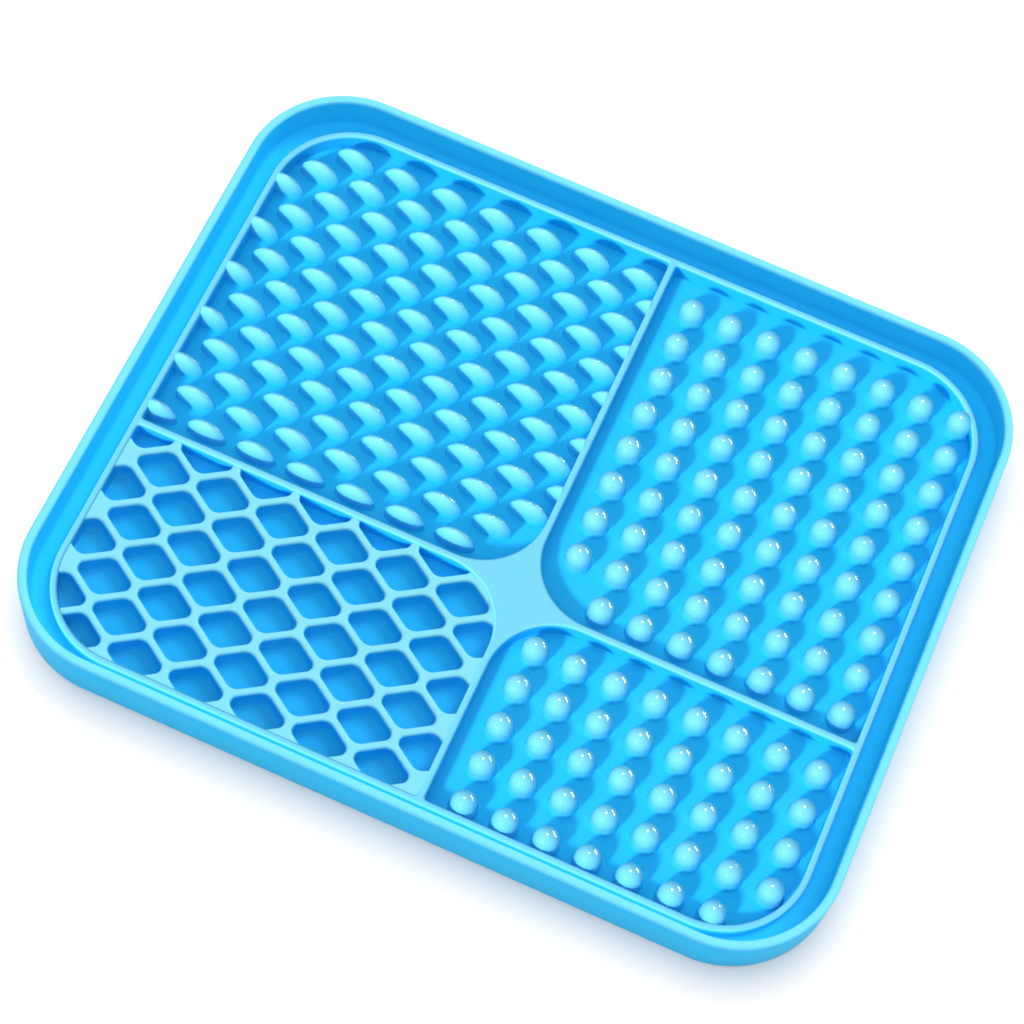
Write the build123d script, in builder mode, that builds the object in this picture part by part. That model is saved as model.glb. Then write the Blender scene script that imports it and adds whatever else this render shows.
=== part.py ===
"""Four-field lick mat: one soft silicone moulding, modelled zone by zone.

Millimetres, +Z up. The origin lies under the middle of the mat, on the table.
X runs along the long sides, and -Y is the side nearest the viewer.
"""
import os
from collections import namedtuple
from math import atan2, degrees, hypot

from build123d import *

# Outside of the mat
mat_length = 200.0
mat_width = 166.0
rim_height = 14.5
rim_wall = 2.2
rim_corner_radius = 25.5
rim_edge_bevel = 0.5

# Drip channel between the rim and the inner frame
side_channel_width = 4.2
long_channel_width = 2.8
channel_floor_height = 5.0
channel_root_bevel = 1.2
corner_radius_step = 1.55

# A bevel takes at most this share of the room it has
bevel_share = 0.6

# Floor, inner frame, dividers and star. The long divider lies to the right of the middle,
# and the two short ones lie in front of it.
floor_thickness = 2.4
wall_top_height = 7.3
frame_wall = 1.65
divider_wall = 1.7
divider_offset = 6.6
left_divider_setback = 19.4
right_divider_setback = 23.2
star_radius = 16.5

# Blades of the back left field, in staggered rows
blade_length = 10.4
blade_width = 4.4
blade_height = 6.4
blade_gap = 2.55
blade_row_gap = 2.6
blade_back_gap = 4.1
blade_first_column = 1.75
blade_overhang = 2.0

# Round pegs of the two right fields, in square rows
peg_diameter = 6.4
peg_height = 6.4
peg_gap = 3.7
peg_row_gap = 4.0
small_peg_row_gap = 3.8
peg_side_gap = 2.2
peg_front_gap = 2.7
small_peg_front_gap = 0.2
peg_star_gap = 0.8

# Bump shapes in shares: what is cut off each corner of the plan, across and along,
# then the shoulder's height, and the width there and at the crown
bump_corner_share = 0.29
blade_end_share = 0.7
peg_end_share = 0.29
blade_shoulder_share = 0.55
blade_neck_share = 0.87
blade_crown_share = 0.4
peg_shoulder_share = 0.62
peg_neck_share = 0.94
peg_crown_share = 0.52

# Least room from a bump's middle to a round corner of its field
corner_margin = 1.5

# Diamond net of the front left field: blunt cells with ribs between their tips and flanks.
# The ribs stop a little below the walls round them.
net_step_down = 0.4
cell_length = 13.1
cell_width = 9.2
cell_corner_flat = 1.75
cell_tip_rib = 2.3
cell_flank_rib = 1.9
cell_first_column = 10.15
cell_first_row = 2.95

# Sizes that follow from those above
frame_length = mat_length - 2 * (rim_wall + side_channel_width)
frame_width = mat_width - 2 * (rim_wall + long_channel_width)
rim_inner_radius = rim_corner_radius - rim_wall
frame_corner_radius = rim_inner_radius - corner_radius_step
inner_corner_radius = frame_corner_radius - frame_wall
inner_x = frame_length / 2 - frame_wall
inner_y = frame_width / 2 - frame_wall
wall_height = wall_top_height - floor_thickness
divider_west = divider_offset - divider_wall / 2
divider_east = divider_offset + divider_wall / 2
left_back = divider_wall / 2 - left_divider_setback
left_front = left_back - divider_wall
right_back = divider_wall / 2 - right_divider_setback
right_front = right_back - divider_wall

# Rounded outlines by length, width and corner radius
mat_outline = (mat_length, mat_width, rim_corner_radius)
rim_inside = (mat_length - 2 * rim_wall, mat_width - 2 * rim_wall, rim_inner_radius)
frame_outline = (frame_length, frame_width, frame_corner_radius)
frame_inside = (2 * inner_x, 2 * inner_y, inner_corner_radius)
floor_plane = Plane.XY.offset(floor_thickness)

# A field is the room between the frame and two dividers; toward points at its star corner
Field = namedtuple("Field", "west south east north toward")
blade_field = Field(-inner_x, left_back, divider_west, inner_y, (1, -1))
net_field = Field(-inner_x, -inner_y, divider_west, left_front, (1, 1))
peg_field = Field(divider_east, right_back, inner_x, inner_y, (-1, -1))
small_peg_field = Field(divider_east, -inner_y, inner_x, right_front, (-1, 1))


def middle(west, south, east, north):
    return (west + east) / 2, (south + north) / 2


def corner_of(field, toward):
    """The square corner of a field that lies in one direction."""
    x = field.east if toward[0] > 0 else field.west
    y = field.north if toward[1] > 0 else field.south
    return x, y


def outline(field):
    """Plan of a field: a wide round at the star, the frame's round at the far corner."""
    with BuildSketch(mode=Mode.PRIVATE) as plan:
        with Locations(middle(*field[:4])):
            Rectangle(field.east - field.west, field.north - field.south)
        star_corner = corner_of(field, field.toward)
        fillet(plan.vertices().sort_by_distance(star_corner)[0], star_radius)
        fillet(plan.vertices().sort_by_distance(star_corner)[-1], inner_corner_radius)
    return plan.sketch


def corner_room(field, toward, radius, x, y):
    """How far a point lies inside one round corner; the mat's length where it isn't near."""
    corner_x, corner_y = corner_of(field, toward)
    across = (x - corner_x) * toward[0] + radius
    along = (y - corner_y) * toward[1] + radius
    if across <= 0 or along <= 0:
        return mat_length
    return radius - hypot(across, along)


def star_room(field, x, y):
    return corner_room(field, field.toward, star_radius, x, y)


def frame_room(field, x, y):
    return corner_room(field, (-field.toward[0], -field.toward[1]), inner_corner_radius, x, y)


def steps(start, stop, pitch):
    """Places from start up to stop, one pitch apart."""
    return [start + pitch * index for index in range(int((stop - start) / pitch) + 1)]


def eight_corners(end, side):
    """A blunt outline round the origin, from the corners at its right end and its upper side."""
    upper = [end, side, (-side[0], side[1]), (-end[0], end[1])]
    return upper + [(-x, -y) for x, y in upper]


def bump(length, width, height, end_share, shoulder, neck, crown):
    """One upright bump of flat flanks that leans in a little to its shoulder, then more to its crown."""
    end = (length / 2, width / 2 - width * bump_corner_share)
    side = (length / 2 - width * end_share, width / 2)
    flank_height = height * shoulder
    crown_height = height - flank_height
    flank_lean = degrees(atan2(width * (1 - neck) / 2, flank_height))
    crown_lean = degrees(atan2(width * (neck - crown) / 2, crown_height))
    with BuildPart() as solid:
        with BuildSketch():
            Polygon(*eight_corners(end, side), align=None)
        extrude(amount=flank_height, taper=flank_lean)
        extrude(solid.faces().sort_by(Axis.Z)[-1], amount=crown_height, taper=crown_lean)
    return solid.part


def bump_group(solid, places, field, height):
    """Bumps on the floor of a field, cut off where they run into its walls."""
    reach = 2 * max(blade_length, peg_diameter)
    with BuildPart() as group:
        with Locations(*[(x, y, floor_thickness) for x, y in places]):
            add(solid)
        with BuildSketch(floor_plane):
            with Locations(middle(*field[:4])):
                Rectangle(field.east - field.west + reach, field.north - field.south + reach)
            add(outline(field), mode=Mode.SUBTRACT)
        extrude(amount=height, mode=Mode.SUBTRACT)
    return group.part


def peg_group(field, row_gap, front_gap):
    """Pegs in square rows, counted from the frame's side and from the front of a field."""
    radius = peg_diameter / 2
    across = steps(peg_side_gap + radius, field.east - field.west - radius, peg_diameter + peg_gap)
    up = steps(front_gap + radius, field.north - field.south - radius, peg_diameter + row_gap)
    places = [(field.east - a, field.south + u) for a in across for u in up]
    places = [p for p in places if star_room(field, *p) > radius + peg_star_gap]
    places = [p for p in places if frame_room(field, *p) > corner_margin]
    peg_sizes = (peg_diameter, peg_diameter, peg_height)
    peg = bump(*peg_sizes, peg_end_share, peg_shoulder_share, peg_neck_share, peg_crown_share)
    return bump_group(peg, places, field, peg_height)


def wall_on_floor(west, south, east, north):
    """A straight divider that stands on the floor."""
    with BuildPart() as wall:
        with BuildSketch(floor_plane):
            with Locations(middle(west, south, east, north)):
                Rectangle(east - west, north - south)
        extrude(amount=wall_height)
    return wall.part


# Outer rim: the tall wall round the mat, with eased top edges
with BuildPart() as outer_rim:
    with BuildSketch():
        RectangleRounded(*mat_outline)
        RectangleRounded(*rim_inside, mode=Mode.SUBTRACT)
    extrude(amount=rim_height)
    chamfer(outer_rim.edges().group_by(Axis.Z)[-1], min(rim_edge_bevel, bevel_share * rim_wall / 2))

# Drip channel: a ledge inside the rim. The rim's wall is there only while the ledge's sloping
# root is made, and is then cut away again.
with BuildPart() as drip_channel:
    with BuildSketch():
        RectangleRounded(*mat_outline)
        RectangleRounded(*frame_outline, mode=Mode.SUBTRACT)
    extrude(amount=rim_height)
    with BuildSketch(Plane.XY.offset(channel_floor_height)):
        RectangleRounded(*rim_inside)
    extrude(amount=rim_height, mode=Mode.SUBTRACT)
    ledge = drip_channel.faces().filter_by_position(Axis.Z, channel_floor_height, channel_floor_height)[0]
    chamfer(ledge.outer_wire().edges(), min(channel_root_bevel, bevel_share * long_channel_width))
    with BuildSketch():
        RectangleRounded(*mat_outline)
        RectangleRounded(*rim_inside, mode=Mode.SUBTRACT)
    extrude(amount=rim_height, mode=Mode.SUBTRACT)

# Floor: a plain sheet inside the ledge, flat underneath
with BuildPart() as floor_sheet:
    with BuildSketch():
        RectangleRounded(*frame_outline)
    extrude(amount=floor_thickness)

# Inner frame: a thin wall that stands on the floor and closes the drip channel
with BuildPart() as inner_frame:
    with BuildSketch(floor_plane):
        RectangleRounded(*frame_outline)
        RectangleRounded(*frame_inside, mode=Mode.SUBTRACT)
    extrude(amount=wall_height)

# Star: the flat plate that is left where the wide corners of the four fields meet
star_west = divider_west - star_radius
star_east = divider_east + star_radius
star_south = min(net_field.north, small_peg_field.north) - star_radius
star_north = max(blade_field.south, peg_field.south) + star_radius
with BuildPart() as center_star:
    with BuildSketch(floor_plane):
        with Locations(middle(star_west, star_south, star_east, star_north)):
            Rectangle(star_east - star_west, star_north - star_south)
        for field in (blade_field, net_field, peg_field, small_peg_field):
            add(outline(field), mode=Mode.SUBTRACT)
    extrude(amount=wall_height)

# Blades: staggered rows from the back wall forward, whole or cut off at the side walls
blade_pitch = blade_length + blade_gap
blade_depth = blade_field.north - blade_field.south - blade_width / 2
blade_rows = steps(blade_back_gap + blade_width / 2, blade_depth, blade_width + blade_row_gap)
blade_places = []
for row, down in enumerate(blade_rows):
    first = blade_field.west + blade_first_column + (row % 2) * blade_pitch / 2
    for x in steps(first, blade_field.east + blade_overhang, blade_pitch):
        place = (x, blade_field.north - down)
        if min(star_room(blade_field, *place), frame_room(blade_field, *place)) > corner_margin:
            blade_places.append(place)
blade_sizes = (blade_length, blade_width, blade_height)
blade = bump(*blade_sizes, blade_end_share, blade_shoulder_share, blade_neck_share, blade_crown_share)

# Net: rows of cells from the front up, every second row shifted by half a pitch
flank_slope = (cell_width - cell_corner_flat) / (cell_length - cell_corner_flat)
cell_pitch = cell_length + cell_tip_rib
flank_overlap = flank_slope * (cell_pitch / 2 - cell_corner_flat)
cell_row_pitch = cell_width - flank_overlap + cell_flank_rib * hypot(1, flank_slope)
cell_places = []
for row, up in enumerate(steps(cell_first_row, net_field.north - net_field.south, cell_row_pitch)):
    first = cell_first_column - (row % 2) * cell_pitch / 2
    for across in steps(first, net_field.east - net_field.west, cell_pitch):
        place = (net_field.east - across, net_field.south + up)
        if min(star_room(net_field, *place), frame_room(net_field, *place)) > 0:
            cell_places.append(place)
cell_tip = (cell_length / 2, cell_corner_flat / 2)
cell_side = (cell_corner_flat / 2, cell_width / 2)
with BuildPart() as diamond_net:
    with BuildSketch(floor_plane):
        add(outline(net_field))
        with Locations(*cell_places):
            Polygon(*eight_corners(cell_tip, cell_side), align=None, mode=Mode.SUBTRACT)
    extrude(amount=wall_height - net_step_down)

pieces = {
    "outer_rim": outer_rim.part,
    "drip_channel": drip_channel.part,
    "floor_sheet": floor_sheet.part,
    "inner_frame": inner_frame.part,
    "center_star": center_star.part,
    "back_divider": wall_on_floor(divider_west, star_north, divider_east, inner_y),
    "front_divider": wall_on_floor(divider_west, -inner_y, divider_east, star_south),
    "left_divider": wall_on_floor(-inner_x, net_field.north, star_west, blade_field.south),
    "right_divider": wall_on_floor(star_east, small_peg_field.north, inner_x, peg_field.south),
    "blades": bump_group(blade, blade_places, blade_field, blade_height),
    "large_peg_group": peg_group(peg_field, peg_row_gap, peg_front_gap),
    "small_peg_group": peg_group(small_peg_field, small_peg_row_gap, small_peg_front_gap),
    "diamond_net": diamond_net.part,
}
os.makedirs("parts", exist_ok=True)
for name, piece in pieces.items():
    piece.label = name
    export_step(piece, f"parts/{name}.step")
    print(name, len(piece.solids()), "solids", round(piece.volume), "mm3")
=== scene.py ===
# %% [markdown]
# # A silicone lick mat
# This lesson dresses the solids of a lick mat, so that they look like one soft blue moulding.
# The solids are loaded first and are never moved. Each new piece is then built in their place,
# with the rounds, domes and fillets that a mould leaves, and stands for the solids it covers.

# %% Load the frame
import math
from collections import namedtuple

import bmesh
import bpy
from mathutils import Matrix, Vector
from mathutils.geometry import tessellate_polygon


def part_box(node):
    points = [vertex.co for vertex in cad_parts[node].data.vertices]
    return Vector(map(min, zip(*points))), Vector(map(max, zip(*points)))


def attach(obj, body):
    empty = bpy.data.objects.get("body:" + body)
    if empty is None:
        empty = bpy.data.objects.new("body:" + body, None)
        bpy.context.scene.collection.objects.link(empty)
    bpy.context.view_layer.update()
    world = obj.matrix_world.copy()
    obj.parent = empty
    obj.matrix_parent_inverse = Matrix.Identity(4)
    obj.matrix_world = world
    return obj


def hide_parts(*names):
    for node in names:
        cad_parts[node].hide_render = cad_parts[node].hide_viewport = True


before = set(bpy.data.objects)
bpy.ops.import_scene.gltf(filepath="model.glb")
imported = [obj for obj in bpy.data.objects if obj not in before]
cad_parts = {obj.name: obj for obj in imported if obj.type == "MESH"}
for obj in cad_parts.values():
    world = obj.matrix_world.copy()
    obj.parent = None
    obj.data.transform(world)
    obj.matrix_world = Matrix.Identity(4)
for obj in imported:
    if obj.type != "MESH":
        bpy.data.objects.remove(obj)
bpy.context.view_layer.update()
MM = 0.001

# %% [markdown]
# ## Sizes from the frame
# Lengths in this script are millimetres, and a mesh is turned into metres when it is made.
# The boxes of the solids say where the walls run. Only the rounds aren't in a box, so they
# are named here: corner radii as in the solids, and the small edge rounds of the moulding.

# %% Read the sizes
def box_mm(node):
    """The lowest and the highest corner of a node's box."""
    low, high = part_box(node)
    return low / MM, high / MM


rim_low, rim_high = box_mm("outer_rim")
frame_low, frame_high = box_mm("inner_frame")
back_low, back_high = box_mm("back_divider")
left_low, left_high = box_mm("left_divider")
right_low, right_high = box_mm("right_divider")
star_low = box_mm("center_star")[0]
front_low = box_mm("front_divider")[0]
channel_low = box_mm("drip_channel")[0]
floor_top = box_mm("floor_sheet")[1].z
net_top = box_mm("diamond_net")[1].z
bump_top = box_mm("blades")[1].z
wall_top = frame_high.z
rim_top = rim_high.z
rim_wall = channel_low.x - rim_low.x
frame_wall = left_low.x - frame_low.x
star_radius = back_low.x - star_low.x

rim_corner_radius = 25.5
frame_corner_radius = 21.75
inner_corner_radius = frame_corner_radius - frame_wall
channel_floor = 5.0
channel_root_round = 1.6
rim_edge_round = 0.7
foot_round = 0.5
wall_edge_round = 0.5
rib_edge_round = 0.65
pocket_round, pocket_rise = 1.35, 2.4
join_round = 0.9

Field = namedtuple("Field", "west south east north toward")
west, east = left_low.x, right_high.x
south, north = front_low.y, back_high.y
blade_field = Field(west, left_high.y, back_low.x, north, (1, -1))
net_field = Field(west, south, back_low.x, left_low.y, (1, 1))
peg_field = Field(back_high.x, right_high.y, east, north, (-1, -1))
small_peg_field = Field(back_high.x, south, east, right_low.y, (-1, 1))
print("fields", [tuple(round(x, 1) for x in f[:4]) for f in (blade_field, net_field)])

# %% [markdown]
# ## One way to draw every outline
# The rim, the frame, the fields and the cells of the net are all convex outlines with round
# corners. One function draws them all. It keeps the centre of each corner and only changes the
# radius when the outline grows, so a grown outline runs parallel to the first one and has the
# same number of points. Two such outlines at two heights can then be joined by a band of faces.

# %% Outlines
ARC_STEP, FINE_ARC_STEP = math.radians(9), math.radians(4)
WIDE_RADIUS = 5.0


def rounded(corners, radii, grow=0.0):
    """Points of a convex outline, anticlockwise, with one radius for each corner."""
    points = []
    for i, corner in enumerate(corners):
        before = (corner - corners[i - 1]).normalized()
        after = (corners[(i + 1) % len(corners)] - corner).normalized()
        turn = math.atan2(before.x * after.y - before.y * after.x, before.dot(after))
        normal = Vector((before.y, -before.x))
        centre = corner - before * radii[i] * math.tan(turn / 2) - normal * radii[i]
        start = math.atan2(normal.y, normal.x)
        count = max(1, math.ceil(turn / (FINE_ARC_STEP if radii[i] > WIDE_RADIUS else ARC_STEP)))
        for k in range(count + 1):
            angle = start + turn * k / count
            points.append(centre + Vector((math.cos(angle), math.sin(angle))) * (radii[i] + grow))
    return points


def rectangle(west, south, east, north):
    """Four corners, anticlockwise from the front left one."""
    return [Vector(p) for p in ((west, south), (east, south), (east, north), (west, north))]


def field_shape(field):
    """Corners and radii of a field: wide at the star, the frame's round opposite, else small."""
    corners = rectangle(*field[:4])
    middle = sum(corners, Vector((0, 0))) / 4
    radii = []
    for corner in corners:
        side = (math.copysign(1, corner.x - middle.x), math.copysign(1, corner.y - middle.y))
        if side == field.toward:
            radii.append(star_radius)
        elif side == (-field.toward[0], -field.toward[1]):
            radii.append(inner_corner_radius)
        else:
            radii.append(join_round)
    return corners, radii


def room(field, point):
    """How far a point lies inside a field, negative outside."""
    corners, radii = field_shape(field)
    outline = rounded(corners, radii)
    rooms = []
    for a, b in zip(outline, outline[1:] + outline[:1]):
        along = b - a
        if along.length > 1e-6:
            rooms.append((along.x * (point.y - a.y) - along.y * (point.x - a.x)) / along.length)
    return min(rooms)


# %% [markdown]
# ## From outlines to meshes
# A small helper turns points and faces into an object at the origin. It merges doubled points,
# which a corner with no round has, and makes the normals face outward. It shades the rounds
# smoothly and can leave level tops flat. The number of steps in each quarter round is set here.

# %% Mesh helpers
SHARP_ANGLE = math.radians(50)
LEVEL_NORMAL = 0.9995
MERGE_DISTANCE = 0.01
FOOT_STEPS, RIM_STEPS, ROOT_STEPS, EDGE_STEPS, DOME_STEPS = 3, 5, 6, 4, 5


def finish_mesh(mesh, level_faces_flat=False):
    """Outward normals and smooth rounds. Level faces of a plate can stay flat."""
    bm = bmesh.new()
    bm.from_mesh(mesh)
    bmesh.ops.remove_doubles(bm, verts=bm.verts, dist=MERGE_DISTANCE * MM)
    bmesh.ops.recalc_face_normals(bm, faces=bm.faces)
    for face in bm.faces:
        face.smooth = not (level_faces_flat and abs(face.normal.z) > LEVEL_NORMAL)
    for edge in bm.edges:
        edge.smooth = len(edge.link_faces) == 2 and edge.calc_face_angle() < SHARP_ANGLE
    bm.to_mesh(mesh)
    bm.free()


def new_piece(name, points, faces, level_faces_flat=False):
    """A new object from points in millimetres."""
    mesh = bpy.data.meshes.new(name)
    mesh.from_pydata([Vector(p) * MM for p in points], [], faces)
    finish_mesh(mesh, level_faces_flat)
    piece = bpy.data.objects.new(name, mesh)
    bpy.context.scene.collection.objects.link(piece)
    return piece


def band(first, second, count):
    """Faces between two outlines of the same count, given by their first point's number."""
    return [(first + i, first + (i + 1) % count, second + (i + 1) % count, second + i)
            for i in range(count)]


def quarter(steps):
    """Angles of a quarter turn."""
    return [math.pi / 2 * i / steps for i in range(steps + 1)]


# %% [markdown]
# ## Rim and drip channel
# The rim and its channel are one ring, so they are drawn as one section that runs round the
# mat. The section starts under the mat, climbs the outer wall, turns over the rounded top and
# comes down inside. At the foot of the inner wall it rounds out into the channel's floor. The
# channel is wider at the short sides, so the inner edge follows the frame's own outline.

# %% Rim and channel
def ring(low, high, radius, inset):
    """An outline at some distance inside a rounded rectangle."""
    corners = rectangle(low.x, low.y, high.x, high.y)
    return rounded(corners, [radius] * 4, -inset)


def loft(name, levels, closed=True):
    """Bands through outlines at heights. They close to a ring, or the ends are capped."""
    count = len(levels[0][0])
    points = [(p.x, p.y, height) for outline, height in levels for p in outline]
    faces = []
    for i in range(len(levels) if closed else len(levels) - 1):
        faces += band(i * count, (i + 1) % len(levels) * count, count)
    if not closed:
        faces.append(tuple(range(count)))
        faces.append(tuple(range(len(points) - count, len(points))))
    return new_piece(name, points, faces)


section = [(foot_round * (1 - math.sin(a)), foot_round * (1 - math.cos(a))) for a in quarter(FOOT_STEPS)]
section += [(rim_edge_round * (1 - math.cos(a)), rim_top - rim_edge_round * (1 - math.sin(a)))
            for a in quarter(RIM_STEPS)]
section += [(rim_wall - rim_edge_round * (1 - math.sin(a)), rim_top - rim_edge_round * (1 - math.cos(a)))
            for a in quarter(RIM_STEPS)]
section += [(rim_wall + channel_root_round * (1 - math.cos(a)),
             channel_floor + channel_root_round * (1 - math.sin(a))) for a in quarter(ROOT_STEPS)]
levels = [(ring(rim_low, rim_high, rim_corner_radius, inset), height) for inset, height in section]
frame_line = ring(frame_low, frame_high, frame_corner_radius, 0)
levels += [(frame_line, channel_floor), (frame_line, 0.0)]
rim = loft("rim_and_channel", levels)
print("rim", len(rim.data.polygons), "faces")

# %% [markdown]
# ## Floor
# The floor is a plain sheet inside the ring. Walls, net and bumps all stand on it. It is made in
# two halves that meet under the dividers, so that each side can have its own lamp later.

# %% Floor
seam = (back_low.x + back_high.x) / 2


def floor_half(name, west, east, radii):
    """One half of the floor, with a radius for each corner."""
    outline = rounded(rectangle(west, frame_low.y, east, frame_high.y), radii)
    return loft(name, [(outline, 0.0), (outline, floor_top)], closed=False)


floor_left = floor_half("floor_left", frame_low.x, seam, [frame_corner_radius, 0, 0, frame_corner_radius])
floor_right = floor_half("floor_right", seam, frame_high.x, [0, frame_corner_radius, frame_corner_radius, 0])
print("floor", len(floor_left.data.polygons), "and", len(floor_right.data.polygons), "faces")

# %% [markdown]
# ## Walls: frame, dividers and star
# In the moulding these walls flow into each other, so the visual piece is one plate with four
# wide holes, the fields. Each outline gets a wall and a quarter round at its top, so a divider
# becomes a soft ridge. What is left of the top is filled with flat faces between the outlines.
# A hole can also be blind. It then starts with a flat floor and a round that climbs to the wall.

# %% Walls
def plate(name, outer, holes, low, high, edge, floor_height=None):
    """A plate with rounded top edges. Its holes go through, or end in a rounded floor."""
    points, faces, top_loops, bottom_loops = [], [], [], []
    lip = [(edge * (1 - math.cos(a)), high - edge * (1 - math.sin(a))) for a in quarter(EDGE_STEPS)]
    foot = [(0.0, low)]
    if floor_height is not None:
        pocket = [(-pocket_round * (1 - math.sin(a)), floor_height + pocket_rise * (1 - math.cos(a)))
                  for a in quarter(EDGE_STEPS)]

    def wall(shape, side, levels):
        """Bands up one outline; gives the loop at its foot."""
        first = len(points)
        for grow, height in levels:
            points.extend((p.x, p.y, height) for p in rounded(*shape, side * grow))
        count = (len(points) - first) // len(levels)
        for i in range(len(levels) - 1):
            faces.extend(band(first + i * count, first + (i + 1) * count, count))
        top_loops.append(range(len(points) - count, len(points)))
        return range(first, first + count)

    bottom_loops.append(wall(outer, -1, foot + lip))
    for hole in holes:
        if floor_height is None:
            bottom_loops.append(wall(hole, 1, foot + lip))
        else:
            faces.append(tuple(wall(hole, 1, pocket + lip)))
    for loops in (top_loops, bottom_loops):
        numbers = [n for loop in loops for n in loop]
        flat = [[Vector((*points[n][:2], 0)) for n in loop] for loop in loops]
        faces.extend(tuple(numbers[k] for k in triangle) for triangle in tessellate_polygon(flat))
    return new_piece(name, points, faces, level_faces_flat=True)


frame_corners = rectangle(frame_low.x, frame_low.y, frame_high.x, frame_high.y)
field_shapes = [field_shape(f) for f in (blade_field, net_field, peg_field, small_peg_field)]
walls = plate("walls", (frame_corners, [frame_corner_radius] * 4), field_shapes, floor_top, wall_top,
              wall_edge_round)
print("walls", len(walls.data.polygons), "faces")

# %% [markdown]
# ## Trimming
# Cells and bumps repeat over a whole field, and those at its edge are cut off by the walls. A
# Boolean with a block the shape of the field keeps only the part inside it. The block reaches a
# little into the walls, so no gap shows between a wall and what it cuts.

# %% Trimming
block_low, block_high = floor_top - 1.0, bump_top + 5.0


def bake(piece):
    """Turns what the modifiers show into the piece's own plain mesh."""
    shown = piece.evaluated_get(bpy.context.evaluated_depsgraph_get())
    mesh = bpy.data.meshes.new_from_object(shown)
    piece.modifiers.clear()
    piece.data = mesh


def trim(piece, field, sink, level_faces_flat=False):
    """Keeps the part of a piece inside its field, and a little of it inside the walls."""
    outline = rounded(*field_shape(field), sink)
    block = loft("block", [(outline, block_low), (outline, block_high)], closed=False)
    cut = piece.modifiers.new("trim", "BOOLEAN")
    cut.operation = "INTERSECT"
    cut.solver = "EXACT"
    cut.object = block
    bake(piece)
    bpy.data.objects.remove(block)
    finish_mesh(piece.data, level_faces_flat)
    return piece


def steps(start, stop, pitch):
    """Evenly spaced numbers from a start, up to a stop."""
    return [start + pitch * i for i in range(int((stop - start) / pitch) + 1)]


# %% [markdown]
# ## Net
# A cell is a lozenge with tight rounds at its tips and wide ones at its sides, as a moulded net
# has them. Rows are staggered by half a pitch. The net is a plate with a blind pocket for every
# cell. It is made too large at first, with whole cells only, and is then trimmed to its field.

# %% Net
cell_half_length, cell_half_width = 7.88, 5.17
cell_tip_round, cell_side_round = 1.62, 2.93
cell_pitch, cell_row_pitch = 15.4, 7.53
cell_first_column, cell_first_row = 10.15, 2.95
pocket_lift = 0.06
spare = 2 * cell_half_length
net_sink = 0.3


def cell_shape(place):
    """Corners and radii of one cell, from its right tip round to its lower side."""
    length, width = Vector((cell_half_length, 0)), Vector((0, cell_half_width))
    corners = [place + length, place + width, place - length, place - width]
    return corners, [cell_tip_round, cell_side_round] * 2


cells = []
for row, up in enumerate(steps(cell_first_row, net_field.north - net_field.south, cell_row_pitch)):
    first = cell_first_column - (row % 2) * cell_pitch / 2
    for across in steps(first, net_field.east - net_field.west, cell_pitch):
        place = Vector((net_field.east - across, net_field.south + up))
        if room(net_field, place) > 0:
            cells.append(cell_shape(place))
wide_corners = rectangle(net_field.west - spare, net_field.south - spare,
                         net_field.east + spare, net_field.north + spare)
net = plate("net", (wide_corners, [spare / 2] * 4), cells, floor_top, net_top, rib_edge_round,
            floor_top + pocket_lift)
trim(net, net_field, net_sink, level_faces_flat=True)
print("net", len(cells), "cells", len(net.data.polygons), "faces")

# %% [markdown]
# ## One blade and one peg
# Both are domes over an ellipse. The outline shrinks with height as a quarter ellipse does. A
# blade's dome starts low, so it looks like half an egg. A peg stands straight up to half its
# height and has a round head. Both flare out where they meet the floor, and end in a small flat
# tip. There are over two hundred bumps, so each has fewer than a hundred faces.

# %% Bump shapes
BUMP_SIDES = 12
blade_length, blade_width = 10.4, 4.0
peg_diameter = 6.4
bump_height = bump_top - floor_top
blade_flare, peg_flare = 0.25, 0.5
tip_share = 0.1


def bump(name, length, width, dome_start, foot_flare):
    """A closed bump that stands on the origin."""
    dome = bump_height - dome_start
    levels = [(1.0, foot_flare, 0.0), (1.0, foot_flare / 4, foot_flare)]
    for a in quarter(DOME_STEPS)[:-1]:
        levels.append((math.cos(a), 0.0, dome_start + dome * math.sin(a)))
    levels.append((tip_share, 0.0, bump_height))
    turns = [2 * math.pi * k / BUMP_SIDES for k in range(BUMP_SIDES)]
    outlines = []
    for share, flare, height in levels:
        outlines.append(([Vector(((length / 2 * share + flare) * math.cos(t),
                                  (width / 2 * share + flare) * math.sin(t))) for t in turns], height))
    return loft(name, outlines, closed=False)


blade = bump("blade_shape", blade_length, blade_width, 2 * blade_flare, blade_flare)
peg = bump("peg_shape", peg_diameter, peg_diameter, bump_height / 2, peg_flare)
print("blade", len(blade.data.polygons), "faces, peg", len(peg.data.polygons), "faces")
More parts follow.
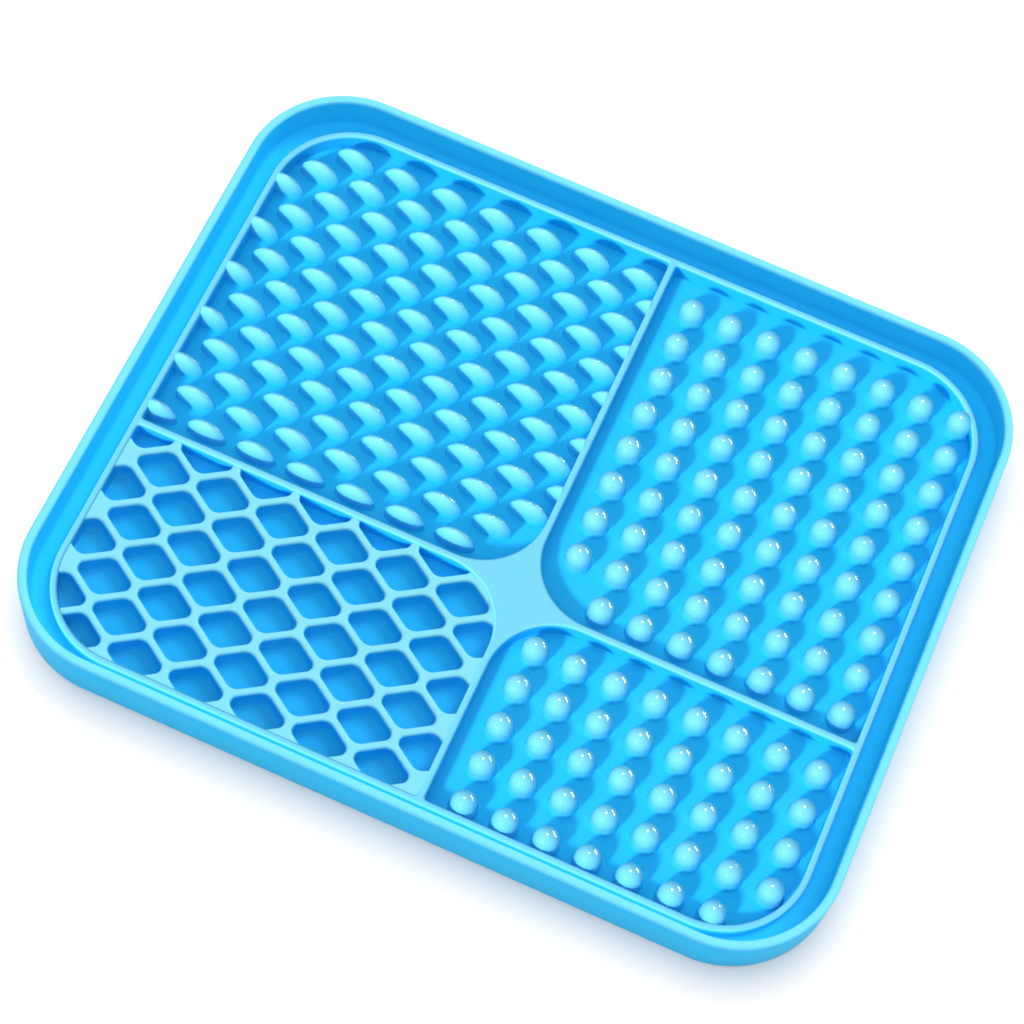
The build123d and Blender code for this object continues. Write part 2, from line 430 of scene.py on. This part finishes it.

# %% [markdown]
# ## Silicone
# The moulding has one material. It is a satin blue rubber that lets a little light in. A colour that
# follows the height paints light on it: a painted highlight toward the tops of raised parts and painted
# shade lower down, with a darker painted shade on the walls' faces and in the net's pockets. A faint
# noise keeps any face from being one flat colour. Walls, net and rim get their painted highlight only
# near their tops, so each zone has its own version of the material.

# %% Silicone material
def silicone(name, painted_shade, painted_highlight, low, high, roughness, gloss):
    """Blue rubber with painted shade at one height and a painted highlight at another, in millimetres."""
    material = bpy.data.materials.new(name)
    material.use_nodes = True
    nodes, links = material.node_tree.nodes, material.node_tree.links
    shader = nodes["Principled BSDF"]
    place = nodes.new("ShaderNodeTexCoord")
    split = nodes.new("ShaderNodeSeparateXYZ")
    height = nodes.new("ShaderNodeMapRange")
    height.inputs["From Min"].default_value = low * MM
    height.inputs["From Max"].default_value = high * MM
    cloud = nodes.new("ShaderNodeTexNoise")
    cloud.inputs["Scale"].default_value = 60.0
    sway = nodes.new("ShaderNodeMath")
    sway.operation = "MULTIPLY_ADD"
    sway.inputs[1].default_value = 0.10
    # The mix runs by height from the painted shade colour to the painted highlight colour.
    tint = nodes.new("ShaderNodeMix")
    tint.data_type = "RGBA"
    tint.inputs["A"].default_value = (*painted_shade, 1)
    tint.inputs["B"].default_value = (*painted_highlight, 1)
    grain = nodes.new("ShaderNodeTexNoise")
    grain.inputs["Scale"].default_value = 2200.0
    bump_node = nodes.new("ShaderNodeBump")
    bump_node.inputs["Strength"].default_value = 0.04
    bump_node.inputs["Distance"].default_value = 0.1 * MM
    links.new(place.outputs["Object"], split.inputs["Vector"])
    links.new(place.outputs["Object"], cloud.inputs["Vector"])
    links.new(place.outputs["Object"], grain.inputs["Vector"])
    links.new(split.outputs["Z"], height.inputs["Value"])
    links.new(cloud.outputs["Fac"], sway.inputs[0])
    links.new(height.outputs["Result"], sway.inputs[2])
    links.new(sway.outputs["Value"], tint.inputs["Factor"])
    links.new(tint.outputs["Result"], shader.inputs["Base Color"])
    links.new(grain.outputs["Fac"], bump_node.inputs["Height"])
    links.new(bump_node.outputs["Normal"], shader.inputs["Normal"])
    shader.inputs["Roughness"].default_value = roughness
    shader.inputs["Specular IOR Level"].default_value = gloss
    shader.inputs["IOR"].default_value = 1.41
    shader.inputs["Subsurface Weight"].default_value = 0.12
    shader.inputs["Subsurface Radius"].default_value = (0.3, 0.7, 1.0)
    shader.inputs["Subsurface Scale"].default_value = 1.5 * MM
    return material


# The darker blue is painted shade on the walls' faces and in the net's pockets. The pale and bright blues
# are painted highlights on the tops of bumps, walls, rim and net ribs. The soft blue is the rubber's own
# colour.
painted_shade_blue, soft_blue = (0.004, 0.47, 0.90), (0.010, 0.54, 0.95)
painted_highlight_blue, painted_rib_highlight_blue = (0.21, 0.72, 0.98), (0.28, 0.82, 0.99)
floor_silicone = silicone("silicone_floor", soft_blue, painted_highlight_blue, floor_top, bump_top, 0.45, 0.1)
bump_silicone = silicone("silicone_bumps", soft_blue, painted_highlight_blue, floor_top, bump_top, 0.18, 0.12)
wall_silicone = silicone("silicone_walls", painted_shade_blue, painted_highlight_blue, wall_top - 0.9, wall_top, 0.36, 0.1)
net_silicone = silicone("silicone_net", painted_shade_blue, painted_rib_highlight_blue, net_top - 0.8, net_top, 0.36, 0.1)
rim_silicone = silicone("silicone_rim", soft_blue, painted_highlight_blue, rim_top - 1.2, rim_top + 0.3, 0.40, 0.05)


def coat(piece, material):
    """Gives a piece one material on all its faces."""
    piece.data.materials.clear()
    piece.data.materials.append(material)
    piece.data.polygons.foreach_set("material_index", [0] * len(piece.data.polygons))


coat(rim, rim_silicone)
coat(floor_left, floor_silicone)
coat(floor_right, floor_silicone)
coat(walls, wall_silicone)
coat(net, net_silicone)

# %% [markdown]
# ## A tree that plants bumps
# Blades and pegs repeat, so one Geometry Nodes tree plants them. It takes a cloud of points and
# puts the same bump on each. Every bump gets a slightly different size, as in a real mould, from
# a fixed seed. The instances are then made real and baked into a plain mesh.

# %% Planting tree
least_size = 0.985


def planting_tree():
    """The tree, and the identifiers of its inputs by name."""
    tree = bpy.data.node_groups.new("plant_bumps", "GeometryNodeTree")
    sockets = {}
    for label, kind in (("Places", "NodeSocketGeometry"), ("Bump", "NodeSocketObject"),
                        ("Least size", "NodeSocketFloat"), ("Seed", "NodeSocketInt")):
        sockets[label] = tree.interface.new_socket(label, in_out="INPUT", socket_type=kind)
    tree.interface.new_socket("Bumps", in_out="OUTPUT", socket_type="NodeSocketGeometry")
    nodes, links = tree.nodes, tree.links
    start = nodes.new("NodeGroupInput")
    shape = nodes.new("GeometryNodeObjectInfo")
    size = nodes.new("FunctionNodeRandomValue")
    size.inputs["Max"].default_value = 1.0
    plant = nodes.new("GeometryNodeInstanceOnPoints")
    real = nodes.new("GeometryNodeRealizeInstances")
    end = nodes.new("NodeGroupOutput")
    links.new(start.outputs["Bump"], shape.inputs["Object"])
    links.new(start.outputs["Least size"], size.inputs["Min"])
    links.new(start.outputs["Seed"], size.inputs["Seed"])
    links.new(start.outputs["Places"], plant.inputs["Points"])
    links.new(shape.outputs["Geometry"], plant.inputs["Instance"])
    links.new(size.outputs["Value"], plant.inputs["Scale"])
    links.new(plant.outputs["Instances"], real.inputs["Geometry"])
    links.new(real.outputs["Geometry"], end.inputs["Bumps"])
    return tree, {label: socket.identifier for label, socket in sockets.items()}


plant_tree, plant_inputs = planting_tree()


def plant(name, shape, places, seed):
    """Bumps of one shape at places on the floor."""
    cloud = bpy.data.meshes.new(name)
    cloud.from_pydata([Vector((*p, floor_top)) * MM for p in places], [], [])
    piece = bpy.data.objects.new(name, cloud)
    bpy.context.scene.collection.objects.link(piece)
    grow = piece.modifiers.new("plant", "NODES")
    grow.node_group = plant_tree
    grow[plant_inputs["Bump"]] = shape
    grow[plant_inputs["Least size"]] = least_size
    grow[plant_inputs["Seed"]] = seed
    bake(piece)
    print(name, len(places), "bumps", len(piece.data.polygons), "faces")
    return piece


# %% [markdown]
# ## Bumps at the walls
# Some bumps run into a wall, so they are planted apart from the whole ones and then trimmed. None
# stands too close to the two wide corners of its field, at the star and at the frame.

# %% Whole and trimmed bumps
OUTLINE_SAMPLES = 16
bump_sink = 0.1


def is_whole(field, place, length, width):
    """True where a bump stands free of its field's walls."""
    turns = [2 * math.pi * k / OUTLINE_SAMPLES for k in range(OUTLINE_SAMPLES)]
    edge = [place + Vector((length / 2 * math.cos(t), width / 2 * math.sin(t))) for t in turns]
    return min(room(field, p) for p in edge) > 0


def clear_of_corners(field, place, star_margin, frame_margin):
    """True where a place keeps a margin from the two wide corners of its field."""
    away = (-field.toward[0], -field.toward[1])
    for toward, radius, margin in ((field.toward, star_radius, star_margin),
                                   (away, inner_corner_radius, frame_margin)):
        corner = Vector((field.east if toward[0] > 0 else field.west,
                         field.north if toward[1] > 0 else field.south))
        offset = place - (corner - Vector(toward) * radius)
        beyond = offset.x * toward[0] > 0 and offset.y * toward[1] > 0
        if beyond and radius - offset.length < margin:
            return False
    return True


def plant_field(name, shape, field, places, length, width, seed):
    """Whole bumps and trimmed ones of a field, as two pieces."""
    whole = [p for p in places if is_whole(field, p, length, width)]
    cut = [p for p in places if p not in whole]
    made = [plant(name, shape, whole, seed)]
    if cut:
        made.append(trim(plant(name + "_at_walls", shape, cut, seed + 1), field, bump_sink))
    for piece in made:
        coat(piece, bump_silicone)
    return made


# %% [markdown]
# ## Blades
# The blades stand in rows along X. Rows are staggered by half a pitch, so each blade faces the
# gap in the row before it. That is what gives the field its look of little waves.

# %% Blades
blade_pitch, blade_row_pitch = 12.95, 7.0
blade_first_row, blade_first_column, blade_overhang = 6.3, 1.75, 2.0
corner_margin = 1.5

blade_places = []
blade_rows = steps(blade_first_row, north - blade_field.south - blade_width / 2, blade_row_pitch)
for row, down in enumerate(blade_rows):
    first = west + blade_first_column + (row % 2) * blade_pitch / 2
    for x in steps(first, blade_field.east + blade_overhang, blade_pitch):
        place = Vector((x, north - down))
        if clear_of_corners(blade_field, place, corner_margin, corner_margin):
            blade_places.append(place)
blades = plant_field("blade_rows", blade, blade_field, blade_places, blade_length, blade_width, seed=3)

# %% [markdown]
# ## Pegs
# The two right fields hold round pegs in square rows, counted from the frame and from the front.
# The front field has slightly closer rows. Pegs keep a wider margin from the star than blades do.

# %% Pegs
peg_pitch, peg_row_pitch, small_peg_row_pitch = 10.1, 10.4, 10.2
peg_side_margin, peg_front_margin, small_peg_front_margin = 5.4, 5.9, 3.4
peg_star_margin = 4.0


def peg_places(field, row_pitch, front_margin):
    """Where the pegs of a field stand."""
    radius = peg_diameter / 2
    across = steps(peg_side_margin, field.east - field.west - radius, peg_pitch)
    up = steps(front_margin, field.north - field.south - radius, row_pitch)
    places = [Vector((field.east - a, field.south + u)) for a in across for u in up]
    return [p for p in places if clear_of_corners(field, p, peg_star_margin, corner_margin)]


pegs = plant_field("large_pegs", peg, peg_field, peg_places(peg_field, peg_row_pitch, peg_front_margin),
                   peg_diameter, peg_diameter, seed=11)
small_pegs = plant_field("small_pegs", peg, small_peg_field,
                         peg_places(small_peg_field, small_peg_row_pitch, small_peg_front_margin),
                         peg_diameter, peg_diameter, seed=23)
for shape in (blade, peg):
    bpy.data.objects.remove(shape)

# %% [markdown]
# ## Tie the pieces to the frame
# Every piece rides on the one body of the mat, and the solids it stands for are hidden.

# %% Tie
stands_for = [(rim, ["outer_rim", "drip_channel"]), (floor_left, ["floor_sheet"]),
              (floor_right, ["floor_sheet"]), (net, ["diamond_net"]),
              (walls, ["inner_frame", "center_star", "back_divider", "front_divider", "left_divider",
                       "right_divider"])]
stands_for += [(piece, ["blades"]) for piece in blades]
stands_for += [(piece, ["large_peg_group"]) for piece in pegs]
stands_for += [(piece, ["small_peg_group"]) for piece in small_pegs]
for piece, nodes in stands_for:
    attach(piece, "root")
    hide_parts(*nodes)
print("pieces", [piece.name for piece, nodes in stands_for])

# %% [markdown]
# ## Sheet and world
# The mat lies on a white sheet under a white sky. A surface that the camera sees, straight or in
# a mirror, may look white without throwing more light on the mat: the Light Path node tells such
# rays from the rest. The sheet only glows a little for them, so the mat's shadow stays on it. It
# also looks a touch warm to them, which cancels the blue that the mat throws on the sheet.

# %% Sheet and world
def seen_ray(tree):
    """A value that is 1 for rays from the camera, from gloss and through glass."""
    path = tree.nodes.new("ShaderNodeLightPath")
    value = path.outputs["Is Camera Ray"]
    for label in ("Is Glossy Ray", "Is Transmission Ray"):
        either = tree.nodes.new("ShaderNodeMath")
        either.operation = "MAXIMUM"
        tree.links.new(value, either.inputs[0])
        tree.links.new(path.outputs[label], either.inputs[1])
        value = either.outputs["Value"]
    return value


def white_sheet(half_size, drop, glow):
    """A wide sheet that lies a drop below the mat, in millimetres."""
    corners = rectangle(-half_size, -half_size, half_size, half_size)
    sheet = new_piece("sheet", [(p.x, p.y, -drop) for p in corners], [(0, 1, 2, 3)])
    material = bpy.data.materials.new("white_sheet")
    material.use_nodes = True
    tree = material.node_tree
    shader = tree.nodes["Principled BSDF"]
    shader.inputs["Specular IOR Level"].default_value = 0.0
    shader.inputs["Emission Color"].default_value = (1, 1, 1, 1)
    seen = seen_ray(tree)
    tint = tree.nodes.new("ShaderNodeMix")
    tint.data_type = "RGBA"
    tint.inputs["A"].default_value = (0.86, 0.90, 0.94, 1)
    tint.inputs["B"].default_value = (0.97, 0.91, 0.87, 1)
    strength = tree.nodes.new("ShaderNodeMath")
    strength.operation = "MULTIPLY"
    strength.inputs[1].default_value = glow
    tree.links.new(seen, tint.inputs["Factor"])
    tree.links.new(seen, strength.inputs[0])
    tree.links.new(tint.outputs["Result"], shader.inputs["Base Color"])
    tree.links.new(strength.outputs["Value"], shader.inputs["Emission Strength"])
    sheet.data.materials.append(material)
    return sheet


def white_world(strength):
    """White where it is seen, and an even light for everything else."""
    world = bpy.data.worlds.new("white")
    world.use_nodes = True
    tree = world.node_tree
    seen, light = tree.nodes["Background"], tree.nodes.new("ShaderNodeBackground")
    seen.inputs["Color"].default_value = (1, 1, 1, 1)
    light.inputs["Color"].default_value = (1, 1, 1, 1)
    light.inputs["Strength"].default_value = strength
    pick = tree.nodes.new("ShaderNodeMixShader")
    tree.links.new(seen_ray(tree), pick.inputs["Fac"])
    tree.links.new(light.outputs["Background"], pick.inputs[1])
    tree.links.new(seen.outputs["Background"], pick.inputs[2])
    tree.links.new(pick.outputs["Shader"], tree.nodes["World Output"].inputs["Surface"])
    bpy.context.scene.world = world


sheet = white_sheet(half_size=3000, drop=0.05, glow=0.10)
white_world(strength=0.44)

# %% [markdown]
# ## Lamps
# The photograph shows two lights. A low key light from the front left lights the bumps, the floor
# and the walls, and draws the shadows behind the bumps. It is made three times, because the pegs
# have shorter shadows than the blades, and the shadows on the walls reach higher. The one for the
# walls passes through the trimmed bumps, whose cut ends would else leave dark marks beside them. A
# softer light from the back right lights the rim and the net, and leaves their faces toward the
# viewer darker. A wide fill brightens the rim and its channel, and one more lamp shades the sheet
# beside the mat. Each is linked to the pieces that show it. Two small lamps that only show up in
# gloss put the bright dots and crescents on the bumps.

# %% Lamps
LAMP_DISTANCE = 0.9


def lamp(name, kind, travel, energy, lights=(), blocked_by=()):
    """A lamp that shines along a direction, for all pieces or only for some."""
    data = bpy.data.lights.new(name, kind)
    data.energy = energy
    thing = bpy.data.objects.new(name, data)
    bpy.context.scene.collection.objects.link(thing)
    direction = Vector(travel).normalized()
    thing.location = -direction * LAMP_DISTANCE
    thing.rotation_mode = "QUATERNION"
    thing.rotation_quaternion = direction.to_track_quat("-Z", "Y")
    for label, pieces in (("receiver_collection", lights), ("blocker_collection", blocked_by)):
        if pieces:
            group = bpy.data.collections.new(name + "_" + label)
            for piece in pieces:
                group.objects.link(piece)
            setattr(thing.light_linking, label, group)
    return thing


def gloss_only(thing, size, size_y):
    """Keeps a lamp to reflections."""
    thing.data.shape = "RECTANGLE"
    thing.data.size, thing.data.size_y = size, size_y
    thing.visible_diffuse = False
    thing.visible_transmission = False


bumps = blades + pegs + small_pegs
pieces = [piece for piece, nodes in stands_for]
above = lamp("above", "AREA", (0.05, 0.12, -1.0), 2.6)
above.data.size = 1.1
whole_bumps = [blades[0], pegs[0], small_pegs[0]]
all_pegs = pegs + small_pegs
key_left = lamp("key_left", "SUN", (0.41, 0.93, -0.54), 2.9, blades + [floor_left], blades + [walls])
key_right = lamp("key_right", "SUN", (0.41, 0.93, -0.74), 2.4, all_pegs + [floor_right], all_pegs + [walls])
wall_light = lamp("wall_light", "SUN", (0.41, 0.93, -0.45), 2.9, [walls], whole_bumps + [walls, net])
for key in (key_left, key_right, wall_light):
    key.data.angle = math.radians(8)
rim_fill = lamp("rim_fill", "SUN", (0.0, 0.3, -1.0), 0.9, [rim])
rim_fill.data.angle = math.radians(120)
back_light = lamp("back_light", "SUN", (-0.35, -0.7, -0.80), 1.4, [rim, net])
back_light.data.angle = math.radians(25)
sheet_light = lamp("sheet_light", "SUN", (0.2, -0.45, -1.0), 1.7, [sheet], pieces)
sheet_light.data.angle = math.radians(60)
gloss_only(lamp("top_dot", "AREA", (0.10, -0.41, -0.91), 60.0, bumps), 0.18, 0.18)
gloss_only(lamp("side_strip", "AREA", (-0.63, -0.77, -0.15), 40.0, bumps), 0.6, 0.12)

# %% [markdown]
# ## Camera
# The camera was fitted to the photograph's rim and frame. It looks down steeply from the front
# right, and is rolled a little, so the mat lies askew in the picture.

# %% Camera
camera_place = Vector((56.40, -249.71, 552.71))
camera_right = Vector((0.9145, 0.3965, 0.0801))
camera_forward = Vector((-0.0983, 0.4099, -0.9068))
back = -camera_forward.normalized()
up = back.cross(camera_right).normalized()
right = up.cross(back)
camera_data = bpy.data.cameras.new("photo_camera")
camera_data.sensor_width = 36.0
camera_data.lens = 89.73
camera = bpy.data.objects.new("photo_camera", camera_data)
bpy.context.scene.collection.objects.link(camera)
turn = Matrix((right, up, back)).transposed().to_4x4()
camera.matrix_world = Matrix.Translation(camera_place * MM) @ turn
bpy.context.scene.camera = camera
bpy.context.scene.view_settings.view_transform = "Standard"
